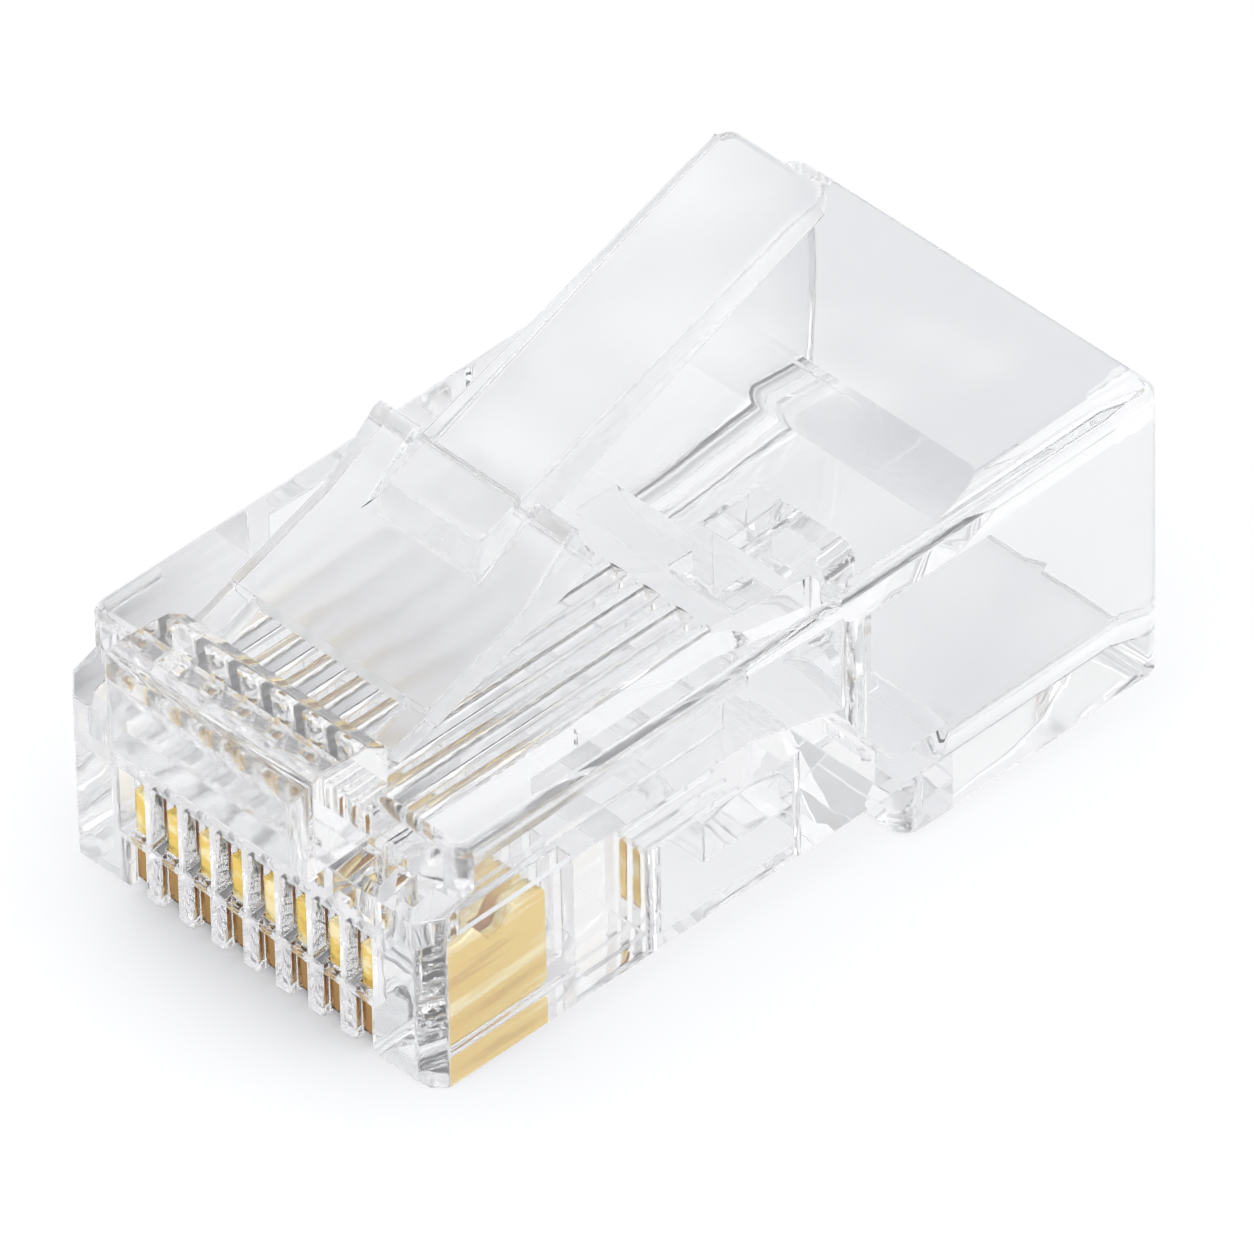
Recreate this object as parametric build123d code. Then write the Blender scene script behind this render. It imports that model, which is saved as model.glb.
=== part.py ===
from build123d import *
import os

# Eight-position modular plug: one clear moulding with its latch, and eight plated contact blades.
# Lengths are in millimetres and angles in degrees.
# The sizes below are worked out in the plug's own nose frame: X runs across the plug, Y runs
# from the flat nose face (y = 0) to the cable end, and Z runs up from the underside of the
# front section (z = 0) to the latch side. The last step moves every piece to the part's frame.

# Outside of the moulding
BODY_WIDTH = 11.68
BODY_HEIGHT = 6.5
FRONT_LENGTH = 14.35
HOOD_LENGTH = 8.25
HOOD_DROP = 1.8
HOOD_CORNER = 0.6
HOOD_EDGE = 0.3
TOP_EDGE = 0.25
NOSE_HEIGHT = 4.75
LEDGE_DEPTH = 0.95
LEDGE_RISE = 0.3
NOSE_CHAMFER = 0.5
NOSE_TOE = 0.2
SHOULDER_CORNER = 0.45

# Walls round the cable cavity
SIDE_WALL = 0.9
ROOF_WALL = 0.75
THICK_ROOF_WALL = 1.3
FLOOR_WALL = 0.85
HOOD_FRONT_WALL = 1.75
CAVITY_REACH = 1.2
CAVITY_FLOOR_CORNER = 1.4
CAVITY_ROOF_CORNER = 0.6
CAVITY_FRONT_CORNER = 0.45
SADDLE_HEIGHT = 0.5
SADDLE_BACK_HEIGHT = 2.3
ROOF_RAMP_SETBACK = 1.95
ROOF_RAMP_LENGTH = 1.7
MOUTH_FLARE = 0.35
MOUTH_DEPTH = 1.2

# Conductor channels and the throat that leads into them
POSITIONS = 8
PITCH = 1.016
CHANNEL_WIDTH = 0.74
CHANNEL_HEIGHT = 1.95
CHANNEL_FLOOR = 3.25
CHANNEL_START = 1.6
CHANNEL_END = 10.4
CHANNEL_ROUND = 0.3
THROAT_WIDTH = 8.6
THROAT_FLOOR = 2.5

# Comb at the nose: a mouth, a sill and a window in front of every blade
MOUTH_WIDTH = 0.48
WINDOW_WIDTH = 0.84
WINDOW_DEPTH = 0.5
WINDOW_TOP = 3.5
SILL_DEPTH = 0.25
SILL_BOTTOM = 1.5
SILL_THICKNESS = 0.28
SILL_FALL = 0.08
LEAD_IN = 0.15

# Contact blades and their slots
BLADE_THICKNESS = 0.36
BLADE_CLEARANCE = 0.02
BLADE_SETBACK = 0.02
BLADE_LENGTH = 3.98
BLADE_BOTTOM = 0.12
BLADE_SHOULDER = 2.85
BLADE_SHOULDER_LENGTH = 1.55
BLADE_TIP_DROP = 0.25
BLADE_ROUND = 0.28
TOOTH_DEPTH = 0.55
TOOTH_FLANK = 0.37
TOOTH_GAP = 0.37
SLOT_RELIEF = 0.85

# Blind holes in the ledge, beside the latch root
LEDGE_HOLE_MARGIN = 0.27
LEDGE_HOLE_WIDTH = 0.55
LEDGE_HOLE_LENGTH = 0.6
LEDGE_HOLE_DEPTH = 1.0
LEDGE_HOLE_SPACING = 1.05

# Conductor clamp under the channels
CLAMP_POCKET_START = 6.95
CLAMP_POCKET_LENGTH = 4.7
CLAMP_POCKET_WIDTH = 9.8
CLAMP_POCKET_HEIGHT = 2.5
CLAMP_BAR_LENGTH = 2.4
CLAMP_BAR_BOTTOM = 0.7
CLAMP_BAR_HEIGHT = 1.45
CLAMP_BAR_CREST = 0.3
CLAMP_BAR_GAP = 0.35
CLAMP_HINGE = 0.4

# Jacket clamp in the hood floor
JACKET_WINDOW_SETBACK = 0.6
JACKET_WINDOW_LENGTH = 2.4
JACKET_WINDOW_WIDTH = 4.2
JACKET_BAR_WIDTH = 3.4
JACKET_BAR_LENGTH = 1.7
JACKET_BAR_BOTTOM = -0.9
JACKET_BAR_TOP = 2.0
JACKET_BAR_ROUND = 0.45
JACKET_BAR_GAP = 0.3
JACKET_HINGE = 0.45
JACKET_ARCH_WIDTH = 1.7
JACKET_ARCH_HEIGHT = 1.5

# Latch root, the rounded bar over the ledge
ROOT_WIDTH = 6.3
ROOT_REACH = 1.2
ROOT_LEDGE_GAP = 0.25
ROOT_RISE = 1.6
ROOT_BACK = 1.45
ROOT_NOSE_ROUND = 0.8
ROOT_LIP_ROUND = 0.3
ROOT_END_ROUND = 0.45
ROOT_TOP_FALL = 0.18
ROOT_BACK_BEVEL = 0.55
ROOT_SEAT = 0.25

# Latch
LATCH_ANGLE = 19.0
HINGE_SETBACK = 0.3
HINGE_RISE = 0.6
HINGE_GAP = 0.04
PLATE_WIDTH = 6.2
PLATE_LENGTH = 6.25
PLATE_THICKNESS = 0.68
STRIP_WIDTH = 0.8
STRIP_LENGTH = 1.15
STRIP_THICKNESS = 0.56
STOP_START = 4.14
STOP_HEIGHT = 0.75
STOP_CREST = 0.22
STOP_WIDTH = 1.33
TAB_WIDTH = 3.2
TAB_LENGTH = 15.95
TAB_STEP_START = 4.2
TAB_STEP_LENGTH = 0.6
TAB_RISE = 0.88
TAB_END_THICKNESS = 0.66
TAB_END_BEVEL_LENGTH = 1.3
TAB_END_BEVEL_DROP = 0.14
TAB_END_ROUND = 0.4

# How far a cutting solid runs past the face that it cuts, and how far a joined solid sinks in
PAST = 1.0
SUNK = 0.25

# Values worked out from the sizes above
body_length = FRONT_LENGTH + HOOD_LENGTH
half_width = BODY_WIDTH / 2
ledge_back_height = NOSE_HEIGHT + LEDGE_RISE
cavity_width = BODY_WIDTH - 2 * SIDE_WALL
cavity_front = FRONT_LENGTH - CAVITY_REACH
hood_floor = -HOOD_DROP + FLOOR_WALL
thick_roof = BODY_HEIGHT - THICK_ROOF_WALL
thin_roof = BODY_HEIGHT - ROOF_WALL
channel_top = CHANNEL_FLOOR + CHANNEL_HEIGHT
channels_width = (POSITIONS - 1) * PITCH + CHANNEL_WIDTH
sill_top = SILL_BOTTOM + SILL_THICKNESS
slot_width = BLADE_THICKNESS + 2 * BLADE_CLEARANCE
blade_front = SILL_DEPTH + BLADE_SETBACK
blade_back = blade_front + BLADE_LENGTH
blade_top = CHANNEL_FLOOR - BLADE_TIP_DROP
slot_back = blade_back + SLOT_RELIEF
clamp_pocket_end = CLAMP_POCKET_START + CLAMP_POCKET_LENGTH
jacket_window_start = FRONT_LENGTH + JACKET_WINDOW_SETBACK
root_bottom = ledge_back_height + ROOT_LEDGE_GAP
root_top = BODY_HEIGHT + ROOT_RISE
hinge_y = ROOT_BACK + HINGE_SETBACK
hinge_z = BODY_HEIGHT + HINGE_RISE


def prism(points, x_low, x_high):
    """Solid with the outline points in the YZ plane, from x_low to x_high."""
    face = make_face(Plane.YZ.offset(x_low) * Polyline(*points, close=True))
    return extrude(face, amount=x_high - x_low, dir=(1, 0, 0))


def block(x_low, x_high, y_low, y_high, z_low, z_high):
    """Plain block between two corners."""
    size = Box(x_high - x_low, y_high - y_low, z_high - z_low)
    return Pos((x_low + x_high) / 2, (y_low + y_high) / 2, (z_low + z_high) / 2) * size


def upright_plane(y):
    """Plane across the plug at one length: its own x and y are the part's X and Z."""
    return Plane.XZ.offset(-y)


def throat_section(y, width, z_low, z_high):
    """Plain rectangle across the plug at one length."""
    return upright_plane(y) * Pos(0, (z_low + z_high) / 2) * Rectangle(width, z_high - z_low)


def cavity_section(y, margin):
    """Outline of the cable cavity across the plug, wider than the cavity by margin all round."""
    shape = Rectangle(cavity_width + 2 * margin, thin_roof - hood_floor + 2 * margin)
    shape = fillet(shape.vertices().group_by(Axis.Y)[0], CAVITY_FLOOR_CORNER + margin)
    shape = fillet(shape.vertices().group_by(Axis.Y)[-1], CAVITY_ROOF_CORNER + margin)
    return upright_plane(y) * Pos(0, (hood_floor + thin_roof) / 2) * shape


def lead_in(plane, half_gap, amount, direction):
    """Bevels along both edges of a narrow gap: a trapezium on the plane, extruded along the gap."""
    outline = plane * Polyline(
        (-half_gap - LEAD_IN, 0),
        (half_gap + LEAD_IN, 0),
        (half_gap, LEAD_IN),
        (-half_gap, LEAD_IN),
        close=True,
    )
    return extrude(make_face(outline), amount=amount, dir=direction)


def position_x(index):
    """Middle of one contact position across the plug."""
    return (index - (POSITIONS - 1) / 2) * PITCH


def outer_body():
    """Stepped front section and deeper hood, with their rounded corners and edges."""
    front_end = FRONT_LENGTH + HOOD_LENGTH / 2
    front = prism(
        [
            (NOSE_TOE, 0),
            (front_end, 0),
            (front_end, BODY_HEIGHT),
            (LEDGE_DEPTH, BODY_HEIGHT),
            (LEDGE_DEPTH, ledge_back_height),
            (0, NOSE_HEIGHT),
            (0, NOSE_TOE),
        ],
        -half_width,
        half_width,
    )
    front = fillet(front.edges().filter_by(Axis.Z).group_by(Axis.Y)[1], SHOULDER_CORNER)
    front = chamfer(front.edges().filter_by(Axis.Z).group_by(Axis.Y)[0], NOSE_CHAMFER)
    hood = block(-half_width, half_width, FRONT_LENGTH, body_length, -HOOD_DROP, BODY_HEIGHT)
    hood = fillet(hood.edges().filter_by(Axis.Z), HOOD_CORNER)
    hood = fillet(hood.edges().group_by(Axis.Z)[0], HOOD_EDGE)
    body = front + hood
    return fillet(body.faces().sort_by(Axis.Z)[-1].edges(), TOP_EDGE)


def cable_cavity():
    """Space for the cable: hood, saddle step, sloping roof, and the flare at its mouth."""
    saddle_end = FRONT_LENGTH + HOOD_FRONT_WALL
    roof_ramp_start = FRONT_LENGTH + ROOF_RAMP_SETBACK
    rear = body_length + PAST
    outline = [
        (rear, thin_roof),
        (roof_ramp_start + ROOF_RAMP_LENGTH, thin_roof),
        (roof_ramp_start, thick_roof),
        (cavity_front, thick_roof),
        (cavity_front, SADDLE_BACK_HEIGHT),
        (FRONT_LENGTH, SADDLE_HEIGHT),
        (saddle_end, SADDLE_HEIGHT),
        (saddle_end, hood_floor),
        (rear, hood_floor),
    ]
    cavity = prism(outline, -cavity_width / 2, cavity_width / 2)
    cavity = fillet(cavity.edges().filter_by(Axis.Z).group_by(Axis.Y)[0], CAVITY_FRONT_CORNER)
    rounded = extrude(cavity_section(0, 0), amount=rear + PAST, dir=(0, 1, 0))
    flare = loft([cavity_section(body_length - MOUTH_DEPTH, 0), cavity_section(body_length, MOUTH_FLARE)])
    return (cavity & rounded) + flare


def throat():
    """Tapered passage that leads the conductors from the cavity to the channels."""
    wide_end = throat_section(cavity_front + CAVITY_FRONT_CORNER, THROAT_WIDTH, THROAT_FLOOR, thick_roof)
    narrow_end = throat_section(CHANNEL_END, channels_width, CHANNEL_FLOOR, channel_top)
    return loft([wide_end, narrow_end])


def channel(x):
    """Round-topped channel for one conductor, closed at the nose."""
    half = CHANNEL_WIDTH / 2
    shape = block(x - half, x + half, CHANNEL_START, CHANNEL_END, CHANNEL_FLOOR, channel_top)
    return fillet(shape.edges().filter_by(Axis.Y).group_by(Axis.Z)[-1], CHANNEL_ROUND)


def contact_slot(x):
    """Slot for one blade, with its mouth, sill and window at the nose and bevels at its edges."""
    half_slot = slot_width / 2
    half_mouth = MOUTH_WIDTH / 2
    half_window = WINDOW_WIDTH / 2
    slot = block(x - half_slot, x + half_slot, SILL_DEPTH, slot_back, -PAST, CHANNEL_FLOOR + SUNK)
    mouth = block(x - half_mouth, x + half_mouth, -PAST, blade_front, -PAST, SILL_BOTTOM)
    window = prism(
        [
            (-PAST, sill_top - SILL_FALL),
            (0, sill_top - SILL_FALL),
            (WINDOW_DEPTH, sill_top),
            (WINDOW_DEPTH, WINDOW_TOP),
            (-PAST, WINDOW_TOP),
        ],
        x - half_window,
        x + half_window,
    )
    front_bevel = lead_in(Plane.XY * Pos(x, 0), half_mouth, SILL_BOTTOM, (0, 0, 1))
    under_bevel = lead_in(upright_plane(0) * Pos(x, 0), half_slot, slot_back, (0, 1, 0))
    return [slot, mouth, window, front_bevel, under_bevel]


def ledge_holes():
    """Small blind holes in the ledge, two beside each end of the latch root."""
    inner_x = ROOT_WIDTH / 2 + LEDGE_HOLE_MARGIN
    hole = block(
        0,
        LEDGE_HOLE_WIDTH,
        LEDGE_DEPTH - LEDGE_HOLE_LENGTH,
        LEDGE_DEPTH,
        NOSE_HEIGHT - LEDGE_HOLE_DEPTH,
        ledge_back_height + SUNK,
    )
    holes = []
    for step in (0, 1):
        x = inner_x + step * LEDGE_HOLE_SPACING
        holes.append(Pos(x, 0, 0) * hole)
        holes.append(Pos(-x - LEDGE_HOLE_WIDTH, 0, 0) * hole)
    return holes


def clamp_pocket():
    """Pocket in the underside, between the contacts and the cable saddle."""
    half = CLAMP_POCKET_WIDTH / 2
    pocket = block(-half, half, CLAMP_POCKET_START, clamp_pocket_end, -PAST, CLAMP_POCKET_HEIGHT)
    return fillet(pocket.edges().filter_by(Axis.Z), CLAMP_BAR_GAP)


def clamp_bar():
    """Bar that folds up on the conductors, held at its back by a thin hinge."""
    half = CLAMP_POCKET_WIDTH / 2 - CLAMP_BAR_GAP
    bar_end = clamp_pocket_end - CLAMP_BAR_GAP
    bar_start = bar_end - CLAMP_BAR_LENGTH
    bar_top = CLAMP_BAR_BOTTOM + CLAMP_BAR_HEIGHT
    hinge_top = CLAMP_BAR_BOTTOM + CLAMP_HINGE
    bar = prism(
        [
            (bar_start, CLAMP_BAR_BOTTOM),
            (bar_end, CLAMP_BAR_BOTTOM),
            (bar_end, bar_top - CLAMP_BAR_CREST),
            ((bar_start + bar_end) / 2, bar_top),
            (bar_start, bar_top - CLAMP_BAR_CREST),
        ],
        -half,
        half,
    )
    hinge = block(-half, half, bar_end - SUNK, clamp_pocket_end + SUNK, CLAMP_BAR_BOTTOM, hinge_top)
    return bar + hinge


def jacket_window():
    """Opening in the hood floor that the jacket clamp folds through."""
    half = JACKET_WINDOW_WIDTH / 2
    end = jacket_window_start + JACKET_WINDOW_LENGTH
    return block(-half, half, jacket_window_start, end, -HOOD_DROP - PAST, SADDLE_HEIGHT + PAST)


def jacket_bar():
    """Arched bar that folds up on the cable jacket, held at its front by a thin hinge."""
    half = JACKET_BAR_WIDTH / 2
    half_arch = JACKET_ARCH_WIDTH / 2
    start = jacket_window_start + JACKET_BAR_GAP
    end = start + JACKET_BAR_LENGTH
    arch_top = JACKET_BAR_BOTTOM + JACKET_ARCH_HEIGHT
    hinge_top = JACKET_BAR_BOTTOM + JACKET_HINGE
    bar = block(-half, half, start, end, JACKET_BAR_BOTTOM, JACKET_BAR_TOP)
    bar = fillet(bar.edges().filter_by(Axis.Y).group_by(Axis.Z)[-1], JACKET_BAR_ROUND)
    arch = block(-half_arch, half_arch, start - PAST, end + PAST, JACKET_BAR_BOTTOM - PAST, arch_top)
    arch = fillet(arch.edges().filter_by(Axis.Y).group_by(Axis.Z)[-1], JACKET_BAR_ROUND)
    hinge = block(-half, half, jacket_window_start - SUNK, start + SUNK, JACKET_BAR_BOTTOM, hinge_top)
    return (bar - arch) + hinge


def latch_root():
    """Rounded bar over the ledge, which joins the latch to the moulding."""
    root = prism(
        [
            (-ROOT_REACH, root_bottom),
            (-ROOT_REACH, root_top),
            (ROOT_BACK - ROOT_BACK_BEVEL, root_top - ROOT_TOP_FALL),
            (ROOT_BACK, root_top - ROOT_BACK_BEVEL),
            (ROOT_BACK, BODY_HEIGHT - ROOT_SEAT),
            (LEDGE_DEPTH + ROOT_SEAT, BODY_HEIGHT - ROOT_SEAT),
            (LEDGE_DEPTH + ROOT_SEAT, root_bottom),
        ],
        -ROOT_WIDTH / 2,
        ROOT_WIDTH / 2,
    )
    front_edges = root.edges().filter_by(Axis.X).group_by(Axis.Y)[0].sort_by(Axis.Z)
    root = fillet(front_edges[-1], ROOT_NOSE_ROUND)
    front_edges = root.edges().filter_by(Axis.X).group_by(Axis.Y)[0].sort_by(Axis.Z)
    root = fillet(front_edges[0], ROOT_LIP_ROUND)
    plan = block(-ROOT_WIDTH / 2, ROOT_WIDTH / 2, -ROOT_REACH, FRONT_LENGTH, 0, root_top + PAST)
    plan = fillet(plan.edges().filter_by(Axis.Z).group_by(Axis.Y)[0], ROOT_END_ROUND)
    return root & plan


def hinge_seats():
    """Round seats in the back of the latch root for the ends of the two hinge strips."""
    radius = STRIP_THICKNESS / 2 + HINGE_GAP
    strip_inner = PLATE_WIDTH / 2 - STRIP_WIDTH - HINGE_GAP
    length = ROOT_WIDTH / 2 - strip_inner + PAST
    seats = []
    for side in (-1, 1):
        middle = side * (strip_inner + length / 2)
        seats.append(Pos(middle, hinge_y, hinge_z) * Rot(0, 90, 0) * Cylinder(radius, length))
    return seats


def make_housing():
    """The clear moulding without its latch."""
    cutters = [cable_cavity(), throat(), clamp_pocket(), jacket_window()]
    cutters += ledge_holes()
    for index in range(POSITIONS):
        cutters.append(channel(position_x(index)))
        cutters += contact_slot(position_x(index))
    body = outer_body() - cutters
    body = body + clamp_bar() + jacket_bar() + latch_root()
    return body - hinge_seats()


def make_contact(index):
    """Plated blade: upright front edge, low front shoulder, and two piercing teeth on top."""
    x = position_x(index)
    valley = blade_top - TOOTH_DEPTH
    shoulder_end = blade_front + BLADE_SHOULDER_LENGTH
    front_tip = shoulder_end + TOOTH_FLANK
    gap_start = front_tip + TOOTH_FLANK
    gap_end = gap_start + TOOTH_GAP
    rear_tip = gap_end + TOOTH_FLANK
    outline = [
        (blade_front, BLADE_SHOULDER),
        (blade_front, BLADE_BOTTOM),
        (blade_back, BLADE_BOTTOM),
        (blade_back, blade_top),
        (rear_tip, blade_top),
        (gap_end, valley),
        (gap_start, valley),
        (front_tip, blade_top),
        (shoulder_end, BLADE_SHOULDER),
    ]
    blade = prism(outline, x - BLADE_THICKNESS / 2, x + BLADE_THICKNESS / 2)
    cross_edges = blade.edges().filter_by(Axis.X)
    rear_top_edge = cross_edges.group_by(Axis.Y)[-1].sort_by(Axis.Z)[-1]
    return fillet(cross_edges.group_by(Axis.Z)[0] + [rear_top_edge], BLADE_ROUND)


def make_latch():
    """Sprung latch in its free position: hinge strips, plate, two stops and the thumb tab."""
    half_plate = PLATE_WIDTH / 2
    half_thick = PLATE_THICKNESS / 2
    half_strip = STRIP_THICKNESS / 2
    tab_top = half_thick + TAB_RISE
    stop_top = half_thick + STOP_HEIGHT
    latch = block(-half_plate, half_plate, STRIP_LENGTH, PLATE_LENGTH, -half_thick, half_thick)
    tab_outline = [
        (TAB_STEP_START, -half_thick),
        (TAB_STEP_START, half_thick),
        (TAB_STEP_START + TAB_STEP_LENGTH, tab_top),
        (TAB_LENGTH - TAB_END_BEVEL_LENGTH, tab_top),
        (TAB_LENGTH, tab_top - TAB_END_BEVEL_DROP),
        (TAB_LENGTH, tab_top - TAB_END_THICKNESS),
        (PLATE_LENGTH, 0),
        (PLATE_LENGTH, -half_thick),
    ]
    tab = prism(tab_outline, -TAB_WIDTH / 2, TAB_WIDTH / 2)
    tab = fillet(tab.edges().filter_by(Axis.Z).group_by(Axis.Y)[-1], TAB_END_ROUND)
    latch = latch + tab
    stop_outline = [
        (STOP_START, -half_thick),
        (STOP_START, half_thick),
        (PLATE_LENGTH - STOP_CREST, stop_top),
        (PLATE_LENGTH, stop_top),
        (PLATE_LENGTH, -half_thick),
    ]
    strip_end = STRIP_LENGTH + half_strip
    for side in (-1, 1):
        outer = side * half_plate
        stop_inner = side * (half_plate - STOP_WIDTH)
        latch = latch + prism(stop_outline, min(outer, stop_inner), max(outer, stop_inner))
        strip_inner = side * (half_plate - STRIP_WIDTH)
        low = min(outer, strip_inner)
        high = max(outer, strip_inner)
        latch = latch + block(low, high, 0, strip_end, -half_strip, half_strip)
        knuckle = Rot(0, 90, 0) * Cylinder(half_strip, STRIP_WIDTH)
        latch = latch + Pos((low + high) / 2, 0, 0) * knuckle
    return Pos(0, hinge_y, hinge_z) * Rot(LATCH_ANGLE, 0, 0) * latch


def main():
    os.makedirs("parts", exist_ok=True)
    # The part's frame has its origin under the middle of its box, level with the hood's underside.
    to_part_frame = Pos(0, -(body_length - ROOT_REACH) / 2, HOOD_DROP)
    export_step(to_part_frame * make_housing(), "parts/housing.step")
    export_step(to_part_frame * make_latch(), "parts/latch.step")
    for index in range(POSITIONS):
        export_step(to_part_frame * make_contact(index), f"parts/contact_{index + 1}.step")


main()
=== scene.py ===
import math

import bmesh
import bpy
import numpy as np
from mathutils import Matrix, Vector


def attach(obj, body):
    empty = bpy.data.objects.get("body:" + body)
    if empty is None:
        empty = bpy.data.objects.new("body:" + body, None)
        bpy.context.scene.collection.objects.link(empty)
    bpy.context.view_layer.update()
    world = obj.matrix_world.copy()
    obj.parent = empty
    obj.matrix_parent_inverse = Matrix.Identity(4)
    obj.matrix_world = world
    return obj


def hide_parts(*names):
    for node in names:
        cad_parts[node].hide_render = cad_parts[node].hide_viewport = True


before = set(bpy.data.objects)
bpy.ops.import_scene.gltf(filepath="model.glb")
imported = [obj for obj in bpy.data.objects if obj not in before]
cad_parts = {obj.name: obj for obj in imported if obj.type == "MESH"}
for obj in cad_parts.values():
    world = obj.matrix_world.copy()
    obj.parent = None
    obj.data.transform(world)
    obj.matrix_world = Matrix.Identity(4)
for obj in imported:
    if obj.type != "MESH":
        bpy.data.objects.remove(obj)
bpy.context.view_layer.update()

# Clear modular plug with gold-plated contacts, nose down on a white ground.
# Lengths are in metres, in the plug's own frame: X across, Y from nose to cable end, Z up.
MM = 0.001

# Camera, as fitted to the plug's straight edges
VIEW_AZIMUTH = math.radians(46.44)
VIEW_ELEVATION = math.radians(41.04)
VIEW_ROLL = math.radians(-1.32)
VIEW_ANGLE = math.radians(3.505)
VIEW_DISTANCE = 449.3 * MM
VIEW_AIM = (0.459 * MM, 0.487 * MM, 5.103 * MM)
CLIP_NEAR = 50 * MM
CLIP_FAR = 5000 * MM

# Ground that the nose's lower edge and the hood's front lower edge both touch
HOOD_DROP = 1.8 * MM
NOSE_Y = -10.5 * MM
HOOD_FRONT_Y = 3.65 * MM
GROUND_RADIUS = 90 * MM
GROUND_FADE = 45 * MM
GROUND_GAP = 0.02 * MM
GROUND_RINGS = 12
GROUND_STEPS = 96
GROUND_WHITE = (0.93, 0.93, 0.935, 1)

# Studio light by height, where 0 is straight down, 0.5 level and 1 straight up. Each stop is a
# height and a level of red. Green and blue keep a little more, so the dim parts are cool.
STUDIO_STOPS = (
    (0.0, 1.0),
    (0.49, 1.0),
    (0.53, 0.6),
    (0.66, 0.68),
    (0.78, 0.97),
    (0.88, 0.95),
    (1.0, 0.85),
)
LEAST_GREEN = 0.03
LEAST_BLUE = 0.08

# The studio's darker side, in front of the plug and to its right, how much darker it is, and
# between which shares of that direction and which heights the darkening comes in
DARK_SIDE = (0.707, -0.707, 0)
DARK_SIDE_SHADE = 0.2
DARK_SIDE_BLEND = (-0.2, 0.75)
HORIZON_BLEND = (0.48, 0.52)
# Heights between which metal and glass go over to plain white
WHITE_BLEND = (0.5, 0.49)

# Soft square lamps that face the plug: name, place, size and power
LAMPS = (
    ("ceiling_lamp", (0.05, -0.245, 0.42), 0.3, 0.88),
    ("side_lamp", (0.35, -0.05, 0.25), 0.2, 0.12),
)

# Clear plastic
PLASTIC_INDEX = 1.585
PLASTIC_CLARITY = 0.98
CLEAR_ROUGHNESS = 0.005
FROST_ROUGHNESS = 0.2
CLEAR_TINT = (0.985, 0.986, 0.988)
# Painted shade: the grey that marked faces of the cable cavity and the thumb tab are tinted with
PAINTED_SHADE_TINT = (0.6, 0.607, 0.63)
GLOW_THROUGH = (0.97, 0.97, 0.973)
SHADOW_THROUGH = (0.915, 0.915, 0.92)
LUMP_HEIGHT = 0.008 * MM
LUMP_SCALE = 1300
RIPPLE_SCALE = 420
RIPPLE_SHARE = 0.6
# Size and spread of the uneven patches of painted shade
SHADE_PATCH_SCALE = 140
SHADE_PATCH_BLEND = (0.33, 0.62)

# Where the plastic is frosted, or greyed with painted shade, and by how much
LOOKS_ALONG = 0.9
ROOT_LOW = 7.0 * MM
ROOT_REAR = -9.2 * MM
ROOT_FROST = 0.6
MOUTH_RIM = 11.7 * MM
RIM_FROST = 1.5
# Painted shade in the cable cavity: on the ceiling above this height, less on the side walls, and
# on the floor below the next height
CEILING_LOW = 7.2 * MM
FLOOR_HIGH = 2.6 * MM
WALL_PAINTED_SHADE = 0.45
LATCH_TILT = math.radians(19)
LATCH_LOOKS_ALONG = 0.95
LATCH_FROST = 1.35
# Painted shade on the thumb tab's frosted faces, above this height
TAB_LOW = 11.5 * MM
TAB_PAINTED_SHADE = 0.5

# Gold plate with painted reflections, streaked along the blade: pale highlights and brown shade
GOLD = (0.88, 0.63, 0.17)
PAINTED_HIGHLIGHT_GOLD = (1.0, 0.87, 0.5)
PAINTED_SHADE_GOLD = (0.74, 0.48, 0.11)
GOLD_ROUGHNESS = 0.2
REFLECTION_STRETCH = (1, 0.14, 1.6)
REFLECTION_SCALE = 1100
HIGHLIGHT_BLEND = (0.5, 0.6)
SHADE_STREAK_BLEND = (0.42, 0.34)
GRAIN_SCALE = 2500
GRAIN_STRENGTH = 0.3
GRAIN_HEIGHT = 0.01 * MM
# Painted shade on each blade's low front end, which sits deep in its mouth
TOE_SHADE_GOLD = (0.5, 0.28, 0.1)
TOE_TOP = 3.3 * MM
TOE_REAR = -10.15 * MM
TOE_BLEND = 0.15 * MM

# Radius on the sharp edges of each piece, and what limits it: the lengths of short edges and
# broad faces, and shares of the full radius
MOULD_RADIUS = 0.055 * MM
LATCH_RADIUS = 0.14 * MM
STAMPED_RADIUS = 0.03 * MM
RADIUS_STEPS = 2
SHORT_EDGE = 0.1 * MM
LATCH_SHORT_EDGE = 0.05 * MM
BROAD_FACE = 0.4 * MM
FINEST_SHARE = 0.4
STEP_SHARE = 0.4
INSIDE_SHARE = 0.5
SIDEWAYS = 0.7
# Joining of the CAD facets and shading across their edges
WELD = 0.0005 * MM
FLAT_ANGLE = math.radians(0.2)
SLIGHT_ANGLE = math.radians(4)
SMOOTH_ANGLE = math.radians(28)
LARGEST_FACE_WEIGHT = 100

# Light paths long enough to leave deep clear plastic
GLASS_BOUNCES = 32
GLOSS_BOUNCES = 16


def new_material(name):
    """An empty node material with its output node."""
    material = bpy.data.materials.new(name)
    material.use_nodes = True
    tree = material.node_tree
    tree.nodes.clear()
    return material, tree, tree.nodes.new("ShaderNodeOutputMaterial")


def link(tree, source, target):
    """Joins two sockets."""
    tree.links.new(source, target)


def maths(tree, operation, *values):
    """A Math node. Each value is a socket or a number."""
    node = tree.nodes.new("ShaderNodeMath")
    node.operation = operation
    for slot, value in zip(node.inputs, values):
        if isinstance(value, (int, float)):
            slot.default_value = value
        else:
            link(tree, value, slot)
    return node.outputs[0]


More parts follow.
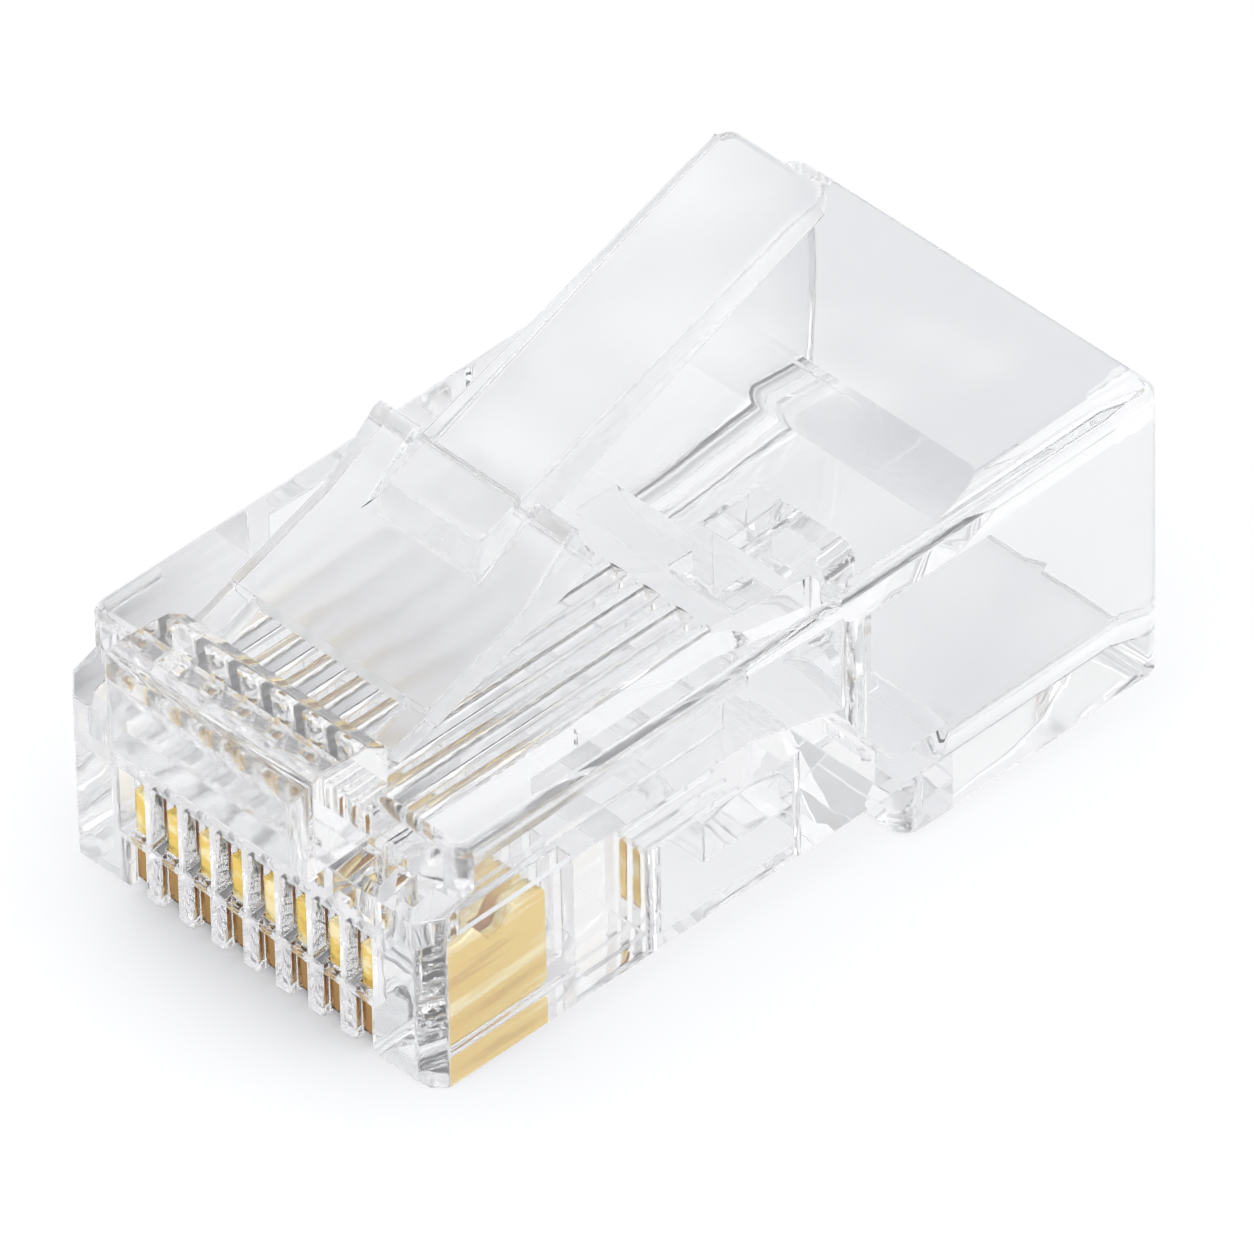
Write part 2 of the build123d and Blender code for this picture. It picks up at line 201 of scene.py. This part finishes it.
def smooth_step(tree, value, low, high):
    """A mask that rises smoothly from 0 at low to 1 at high."""
    node = tree.nodes.new("ShaderNodeMapRange")
    node.interpolation_type = "SMOOTHSTEP"
    node.inputs["From Min"].default_value = low
    node.inputs["From Max"].default_value = high
    link(tree, value, node.inputs["Value"])
    return node.outputs["Result"]


def noise(tree, place, scale, detail=2):
    """Smooth random amount, about 0.5, at a place. Scale is how fine it is, in lumps per metre."""
    node = tree.nodes.new("ShaderNodeTexNoise")
    node.inputs["Scale"].default_value = scale
    node.inputs["Detail"].default_value = detail
    link(tree, place, node.inputs["Vector"])
    return node.outputs["Fac"]


def bumped(tree, height, strength, distance):
    """The surface's direction where height stands up by distance."""
    node = tree.nodes.new("ShaderNodeBump")
    node.inputs["Strength"].default_value = strength
    node.inputs["Distance"].default_value = distance
    link(tree, height, node.inputs["Height"])
    return node.outputs["Normal"]


def face_amount(tree, name):
    """The amount that mark_faces keeps on each face under a name."""
    node = tree.nodes.new("ShaderNodeAttribute")
    node.attribute_name = name
    return node.outputs["Fac"]


def colour_mix(tree, mask, first, second):
    """Colour between first and second by a mask. Each colour is a socket or three numbers."""
    node = tree.nodes.new("ShaderNodeMix")
    node.data_type = "RGBA"
    link(tree, mask, node.inputs[0])
    for slot, colour in ((6, first), (7, second)):
        if isinstance(colour, tuple):
            node.inputs[slot].default_value = (*colour, 1)
        else:
            link(tree, colour, node.inputs[slot])
    return node.outputs[2]


def shader_mix(tree, mask, first, second):
    """Shader between the first and second shader nodes by a mask."""
    node = tree.nodes.new("ShaderNodeMixShader")
    link(tree, mask, node.inputs[0])
    link(tree, first.outputs[0], node.inputs[1])
    link(tree, second.outputs[0], node.inputs[2])
    return node.outputs[0]


def clear_plastic_material():
    """Clear moulded plastic: refracting, a little milky, frosted where the faces say so and greyed
    in uneven patches of painted shade where they say so, with faint ripples. Light that only makes
    shadows or glow goes straight through it."""
    material, tree, output = new_material("clear_plastic")
    place = tree.nodes.new("ShaderNodeTexCoord").outputs["Object"]

    frost = face_amount(tree, "frost")
    ripple = maths(tree, "MULTIPLY", noise(tree, place, RIPPLE_SCALE), RIPPLE_SHARE)
    height = maths(tree, "MULTIPLY_ADD", frost, noise(tree, place, LUMP_SCALE), ripple)
    rough = maths(tree, "MULTIPLY_ADD", frost, FROST_ROUGHNESS, CLEAR_ROUGHNESS)
    uneven = smooth_step(tree, noise(tree, place, SHADE_PATCH_SCALE), *SHADE_PATCH_BLEND)
    # Painted shade: faces marked for it turn grey, in uneven patches
    painted_shade_amount = maths(tree, "MULTIPLY", face_amount(tree, "painted_shade"), uneven)

    plastic = tree.nodes.new("ShaderNodeBsdfPrincipled")
    plastic.inputs["IOR"].default_value = PLASTIC_INDEX
    plastic.inputs["Transmission Weight"].default_value = PLASTIC_CLARITY
    link(tree, colour_mix(tree, painted_shade_amount, CLEAR_TINT, PAINTED_SHADE_TINT), plastic.inputs["Base Color"])
    link(tree, rough, plastic.inputs["Roughness"])
    link(tree, bumped(tree, height, 1, LUMP_HEIGHT), plastic.inputs["Normal"])

    rays = tree.nodes.new("ShaderNodeLightPath").outputs
    through = tree.nodes.new("ShaderNodeBsdfTransparent")
    kept = colour_mix(tree, rays["Is Shadow Ray"], GLOW_THROUGH, SHADOW_THROUGH)
    link(tree, kept, through.inputs["Color"])
    straight = maths(tree, "MAXIMUM", rays["Is Shadow Ray"], rays["Is Diffuse Ray"])
    link(tree, shader_mix(tree, straight, plastic, through), output.inputs["Surface"])
    return material


def gold_material():
    """Gold plate on stamped blades: painted reflections streaked along their length, pale
    highlights and brown shade, finely grained, and browner with painted shade at the low front
    end."""
    material, tree, output = new_material("gold_plate")
    place = tree.nodes.new("ShaderNodeTexCoord").outputs["Object"]

    stretch = tree.nodes.new("ShaderNodeMapping")
    stretch.inputs["Scale"].default_value = REFLECTION_STRETCH
    link(tree, place, stretch.inputs["Vector"])
    reflection_streak = noise(tree, stretch.outputs["Vector"], REFLECTION_SCALE, 3)
    grain = noise(tree, place, GRAIN_SCALE)

    parts = tree.nodes.new("ShaderNodeSeparateXYZ")
    link(tree, place, parts.inputs[0])
    # Mask of the painted shade: the blade's low front end
    low = smooth_step(tree, parts.outputs["Z"], TOE_TOP + TOE_BLEND, TOE_TOP - TOE_BLEND)
    ahead = smooth_step(tree, parts.outputs["Y"], TOE_REAR + TOE_BLEND, TOE_REAR - TOE_BLEND)
    toe_shade = maths(tree, "MULTIPLY", low, ahead)

    # Painted reflections: pale highlight streaks and brown shade streaks
    colour = colour_mix(tree, smooth_step(tree, reflection_streak, *HIGHLIGHT_BLEND), GOLD, PAINTED_HIGHLIGHT_GOLD)
    colour = colour_mix(tree, smooth_step(tree, reflection_streak, *SHADE_STREAK_BLEND), colour, PAINTED_SHADE_GOLD)
    # Painted shade on the low front end
    colour = colour_mix(tree, toe_shade, colour, TOE_SHADE_GOLD)

    gold = tree.nodes.new("ShaderNodeBsdfPrincipled")
    gold.inputs["Metallic"].default_value = 1
    gold.inputs["Roughness"].default_value = GOLD_ROUGHNESS
    link(tree, colour, gold.inputs["Base Color"])
    link(tree, bumped(tree, grain, GRAIN_STRENGTH, GRAIN_HEIGHT), gold.inputs["Normal"])
    link(tree, gold.outputs[0], output.inputs["Surface"])
    return material


def ground_material():
    """White ground that keeps the soft shadow, fades out at its rim and is not seen from below."""
    material, tree, output = new_material("ground_white")
    length = tree.nodes.new("ShaderNodeVectorMath")
    length.operation = "LENGTH"
    link(tree, tree.nodes.new("ShaderNodeTexCoord").outputs["Object"], length.inputs[0])
    fade = tree.nodes.new("ShaderNodeMapRange")
    fade.inputs["From Min"].default_value = GROUND_FADE
    fade.inputs["From Max"].default_value = GROUND_RADIUS
    link(tree, length.outputs["Value"], fade.inputs["Value"])
    behind = tree.nodes.new("ShaderNodeNewGeometry").outputs["Backfacing"]
    hidden = maths(tree, "MAXIMUM", fade.outputs["Result"], behind)
    white = tree.nodes.new("ShaderNodeBsdfDiffuse")
    white.inputs["Color"].default_value = GROUND_WHITE
    unseen = tree.nodes.new("ShaderNodeBsdfTransparent")
    link(tree, shader_mix(tree, hidden, white, unseen), output.inputs["Surface"])
    return material


def face_run(edge):
    """How far the smaller of an edge's two faces reaches from it: its area over the edge's
    length."""
    return min(face.calc_area() for face in edge.link_faces) / edge.calc_length()


def room_beside(edge):
    """Length of the shortest edge that leaves an end of this one sideways, BROAD_FACE at most."""
    along = (edge.verts[1].co - edge.verts[0].co).normalized()
    room = BROAD_FACE
    for corner in edge.verts:
        for other in corner.link_edges:
            away = (other.verts[1].co - other.verts[0].co).normalized()
            if abs(along.dot(away)) < SIDEWAYS:
                room = min(room, other.calc_length())
    return room


def radius_share(edge, radius, shortest):
    """Share of the full radius that an edge gets: none between the narrow facets of one curved
    face or on edges under the shortest, less on thin walls and beside short steps, and half of
    that in inside corners."""
    if not edge.is_manifold or edge.calc_face_angle() < SMOOTH_ANGLE:
        return 0
    if edge.calc_length() < shortest:
        return 0
    share = max(FINEST_SHARE, min(1, face_run(edge) / BROAD_FACE))
    share = min(share, STEP_SHARE * room_beside(edge) / radius)
    return share if edge.is_convex else share * INSIDE_SHARE


def is_fold(edge):
    """True for a slight change of slope between two broad faces, which stays a crisp line."""
    if not edge.is_manifold or not SLIGHT_ANGLE < edge.calc_face_angle() < SMOOTH_ANGLE:
        return False
    return face_run(edge) > BROAD_FACE


def rounded_copy(node, name, radius, shortest=SHORT_EDGE):
    """A copy of a CAD node with its loose corners joined, its flat faces made whole and its sharp
    edges rounded to the small radius that a real mould or stamping leaves."""
    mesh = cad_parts[node].data.copy()
    mesh.name = name
    work = bmesh.new()
    work.from_mesh(mesh)
    bmesh.ops.remove_doubles(work, verts=work.verts, dist=WELD)
    bmesh.ops.dissolve_limit(work, angle_limit=FLAT_ANGLE, verts=work.verts, edges=work.edges)
    weight = work.edges.layers.float.new("bevel_weight_edge")
    for edge in work.edges:
        edge[weight] = radius_share(edge, radius, shortest)
        edge.smooth = not is_fold(edge)
    work.to_mesh(mesh)
    work.free()

    piece = bpy.data.objects.new(name, mesh)
    bpy.context.scene.collection.objects.link(piece)
    bevel = piece.modifiers.new("edge_radius", "BEVEL")
    bevel.width = radius
    bevel.segments = RADIUS_STEPS
    bevel.limit_method = "WEIGHT"
    bevel.use_clamp_overlap = False
    mesh.shade_smooth()
    weighted = piece.modifiers.new("even_normals", "WEIGHTED_NORMAL")
    weighted.weight = LARGEST_FACE_WEIGHT
    weighted.keep_sharp = True
    return piece


def face_rows(mesh, name):
    """One row of three numbers for every face: its centre or its normal."""
    rows = np.empty(len(mesh.polygons) * 3)
    mesh.polygons.foreach_get(name, rows)
    return rows.reshape(-1, 3)


def mark_faces(piece, name, amount):
    """Keeps one amount per face under a name that the plastic reads: frost is how rough the face
    is, haze how clouded."""
    layer = piece.data.attributes.new(name, "FLOAT", "FACE")
    layer.data.foreach_set("value", amount.astype(np.float32))


def moulding_frost(mesh):
    """Frost on the moulding. On the latch root it is the square of how far a face looks forward,
    so most on the front, a quarter of that on top and at the ends, and 0 behind. The rim of the
    cable mouth, which is the faces that look back at the far end, has its own amount."""
    centre, normal = face_rows(mesh, "center"), face_rows(mesh, "normal")
    on_root = (centre[:, 2] > ROOT_LOW) & (centre[:, 1] < ROOT_REAR)
    on_rim = (centre[:, 1] > MOUTH_RIM) & (normal[:, 1] > LOOKS_ALONG)
    forward = 0.5 - 0.5 * normal[:, 1]
    return np.where(on_root, ROOT_FROST * forward ** 2, np.where(on_rim, RIM_FROST, 0))


def latch_frost(mesh):
    """Frost on the underside and the front end of the latch, whose normals lie within about 18
    degrees of its own down and its own front."""
    up = np.array([0, -math.sin(LATCH_TILT), math.cos(LATCH_TILT)])
    back = np.array([0, math.cos(LATCH_TILT), math.sin(LATCH_TILT)])
    normal = face_rows(mesh, "normal")
    underside = normal @ up < -LATCH_LOOKS_ALONG
    front_end = normal @ back < -LATCH_LOOKS_ALONG
    return np.where(underside | front_end, LATCH_FROST, 0)


def hood_painted_shade(mesh):
    """Painted shade in the cable cavity, behind the hood's front: 1 on the ceiling, whose normal
    points down high up, and less on the side walls, whose normals point to the middle, and on the
    floor."""
    centre, normal = face_rows(mesh, "center"), face_rows(mesh, "normal")
    behind = centre[:, 1] > HOOD_FRONT_Y
    ceiling = behind & (centre[:, 2] > CEILING_LOW) & (normal[:, 2] < -LOOKS_ALONG)
    inward = centre[:, 0] * normal[:, 0] < 0
    side = behind & inward & (np.abs(normal[:, 0]) > LOOKS_ALONG)
    floor = behind & (centre[:, 2] < FLOOR_HIGH) & (normal[:, 2] > LOOKS_ALONG)
    return np.where(ceiling, 1, np.where(side | floor, WALL_PAINTED_SHADE, 0))


def tab_painted_shade(mesh):
    """Painted shade on the frosted faces of the thumb tab, which lie above the latch's two stops.
    """
    on_tab = face_rows(mesh, "center")[:, 2] > TAB_LOW
    return np.where(on_tab, latch_frost(mesh) * TAB_PAINTED_SHADE, 0)


def paint(piece, material):
    """Gives a piece one material."""
    piece.data.materials.clear()
    piece.data.materials.append(material)


def make_ground(material):
    """Flat disc as rings of a polar grid, x = r cos a and y = r sin a, tilted to the plane that
    the plug rests on."""
    radius = np.linspace(0, GROUND_RADIUS, GROUND_RINGS + 1)[1:]
    angle = np.linspace(0, 2 * np.pi, GROUND_STEPS, endpoint=False)
    r, a = np.meshgrid(radius, angle, indexing="ij")
    points = np.stack([r * np.cos(a), r * np.sin(a), np.zeros_like(r)], axis=-1).reshape(-1, 3)
    points = np.vstack([[0, 0, 0], points])
    faces = [(0, 1 + k, 1 + (k + 1) % GROUND_STEPS) for k in range(GROUND_STEPS)]
    for ring in range(GROUND_RINGS - 1):
        inner = 1 + ring * GROUND_STEPS
        outer = inner + GROUND_STEPS
        for k in range(GROUND_STEPS):
            n = (k + 1) % GROUND_STEPS
            faces.append((inner + k, outer + k, outer + n, inner + n))
    mesh = bpy.data.meshes.new("ground")
    mesh.from_pydata(points.tolist(), [], faces)
    mesh.materials.append(material)
    ground = bpy.data.objects.new("ground", mesh)
    bpy.context.scene.collection.objects.link(ground)
    slope = math.atan2(HOOD_DROP, HOOD_FRONT_Y - NOSE_Y)
    place = Matrix.Translation((0, HOOD_FRONT_Y, -GROUND_GAP))
    ground.matrix_world = place @ Matrix.Rotation(-slope, 4, "X")


def make_camera():
    """Camera at the photograph's angle: a long lens aimed at the middle of the plug."""
    data = bpy.data.cameras.new("camera")
    data.sensor_fit = "HORIZONTAL"
    data.angle = VIEW_ANGLE
    data.clip_start = CLIP_NEAR
    data.clip_end = CLIP_FAR
    camera = bpy.data.objects.new("camera", data)
    bpy.context.scene.collection.objects.link(camera)
    level = math.cos(VIEW_ELEVATION)
    across, along = math.sin(VIEW_AZIMUTH) * level, -math.cos(VIEW_AZIMUTH) * level
    back = Vector((across, along, math.sin(VIEW_ELEVATION)))
    camera.location = Vector(VIEW_AIM) + back * VIEW_DISTANCE
    upright = (-back).to_track_quat("-Z", "Y")
    roll = Matrix.Rotation(VIEW_ROLL, 3, "Z").to_quaternion()
    camera.rotation_mode = "QUATERNION"
    camera.rotation_quaternion = upright @ roll
    bpy.context.scene.camera = camera


def make_lamp(name, place, size, power):
    """Square soft lamp at place, facing the plug."""
    data = bpy.data.lights.new(name, "AREA")
    data.size = size
    data.energy = power
    lamp = bpy.data.objects.new(name, data)
    bpy.context.scene.collection.objects.link(lamp)
    lamp.location = place
    lamp.rotation_mode = "QUATERNION"
    lamp.rotation_quaternion = (-Vector(place)).to_track_quat("-Z", "Y")


def make_world():
    """White to the camera, and below the horizon to metal and glass as well. Above it they see a
    white studio with a bright ceiling, a greyer band low down, and less light from its darker
    side."""
    world = bpy.data.worlds.new("studio")
    bpy.context.scene.world = world
    world.use_nodes = True
    tree = world.node_tree
    tree.nodes.clear()
    output = tree.nodes.new("ShaderNodeOutputWorld")
    direction = tree.nodes.new("ShaderNodeTexCoord").outputs["Generated"]
    parts = tree.nodes.new("ShaderNodeSeparateXYZ")
    link(tree, direction, parts.inputs[0])
    height = maths(tree, "MULTIPLY_ADD", parts.outputs["Z"], 0.5, 0.5)

    ramp = tree.nodes.new("ShaderNodeValToRGB")
    ramp.color_ramp.interpolation = "EASE"
    stops = ramp.color_ramp.elements
    for number, (where, red) in enumerate(STUDIO_STOPS):
        stop = stops[number] if number < 2 else stops.new(where)
        stop.position = where
        green = LEAST_GREEN + (1 - LEAST_GREEN) * red
        blue = LEAST_BLUE + (1 - LEAST_BLUE) * red
        stop.color = (red, green, blue, 1)
    link(tree, height, ramp.inputs["Fac"])

    toward = tree.nodes.new("ShaderNodeVectorMath")
    toward.operation = "DOT_PRODUCT"
    toward.inputs[1].default_value = DARK_SIDE
    link(tree, direction, toward.inputs[0])
    dark_side = smooth_step(tree, toward.outputs["Value"], *DARK_SIDE_BLEND)
    shade = maths(tree, "MULTIPLY", dark_side, smooth_step(tree, height, *HORIZON_BLEND))
    strength = maths(tree, "MULTIPLY_ADD", shade, -DARK_SIDE_SHADE, 1)
    studio = tree.nodes.new("ShaderNodeBackground")
    link(tree, ramp.outputs["Color"], studio.inputs["Color"])
    link(tree, strength, studio.inputs["Strength"])

    white = tree.nodes.new("ShaderNodeBackground")
    white.inputs["Color"].default_value = (1, 1, 1, 1)
    rays = tree.nodes.new("ShaderNodeLightPath").outputs
    in_glass = maths(tree, "MAXIMUM", rays["Is Glossy Ray"], rays["Is Transmission Ray"])
    low_down = maths(tree, "MULTIPLY", in_glass, smooth_step(tree, height, *WHITE_BLEND))
    plain = maths(tree, "MAXIMUM", rays["Is Camera Ray"], low_down)
    link(tree, shader_mix(tree, plain, studio, white), output.inputs["Surface"])


clear_plastic = clear_plastic_material()
gold_plate = gold_material()

moulding = rounded_copy("housing", "clear_moulding", MOULD_RADIUS)
paint(moulding, clear_plastic)
mark_faces(moulding, "frost", moulding_frost(moulding.data))
mark_faces(moulding, "painted_shade", hood_painted_shade(moulding.data))
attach(moulding, "plug_body")
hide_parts("housing")

spring_latch = rounded_copy("latch", "sprung_latch", LATCH_RADIUS, LATCH_SHORT_EDGE)
paint(spring_latch, clear_plastic)
mark_faces(spring_latch, "frost", latch_frost(spring_latch.data))
mark_faces(spring_latch, "painted_shade", tab_painted_shade(spring_latch.data))
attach(spring_latch, "latch")
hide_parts("latch")

for name in sorted(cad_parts):
    if name.startswith("contact"):
        blade = rounded_copy(name, "blade_" + name.split("_")[1], STAMPED_RADIUS)
        paint(blade, gold_plate)
        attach(blade, "plug_body")
        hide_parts(name)

make_ground(ground_material())
make_camera()
make_world()
for lamp in LAMPS:
    make_lamp(*lamp)

scene = bpy.context.scene
scene.view_settings.view_transform = "Standard"
scene.cycles.max_bounces = GLASS_BOUNCES
scene.cycles.transmission_bounces = GLASS_BOUNCES
scene.cycles.transparent_max_bounces = GLASS_BOUNCES
scene.cycles.glossy_bounces = GLOSS_BOUNCES
scene.cycles.caustics_refractive = False
scene.cycles.caustics_reflective = False
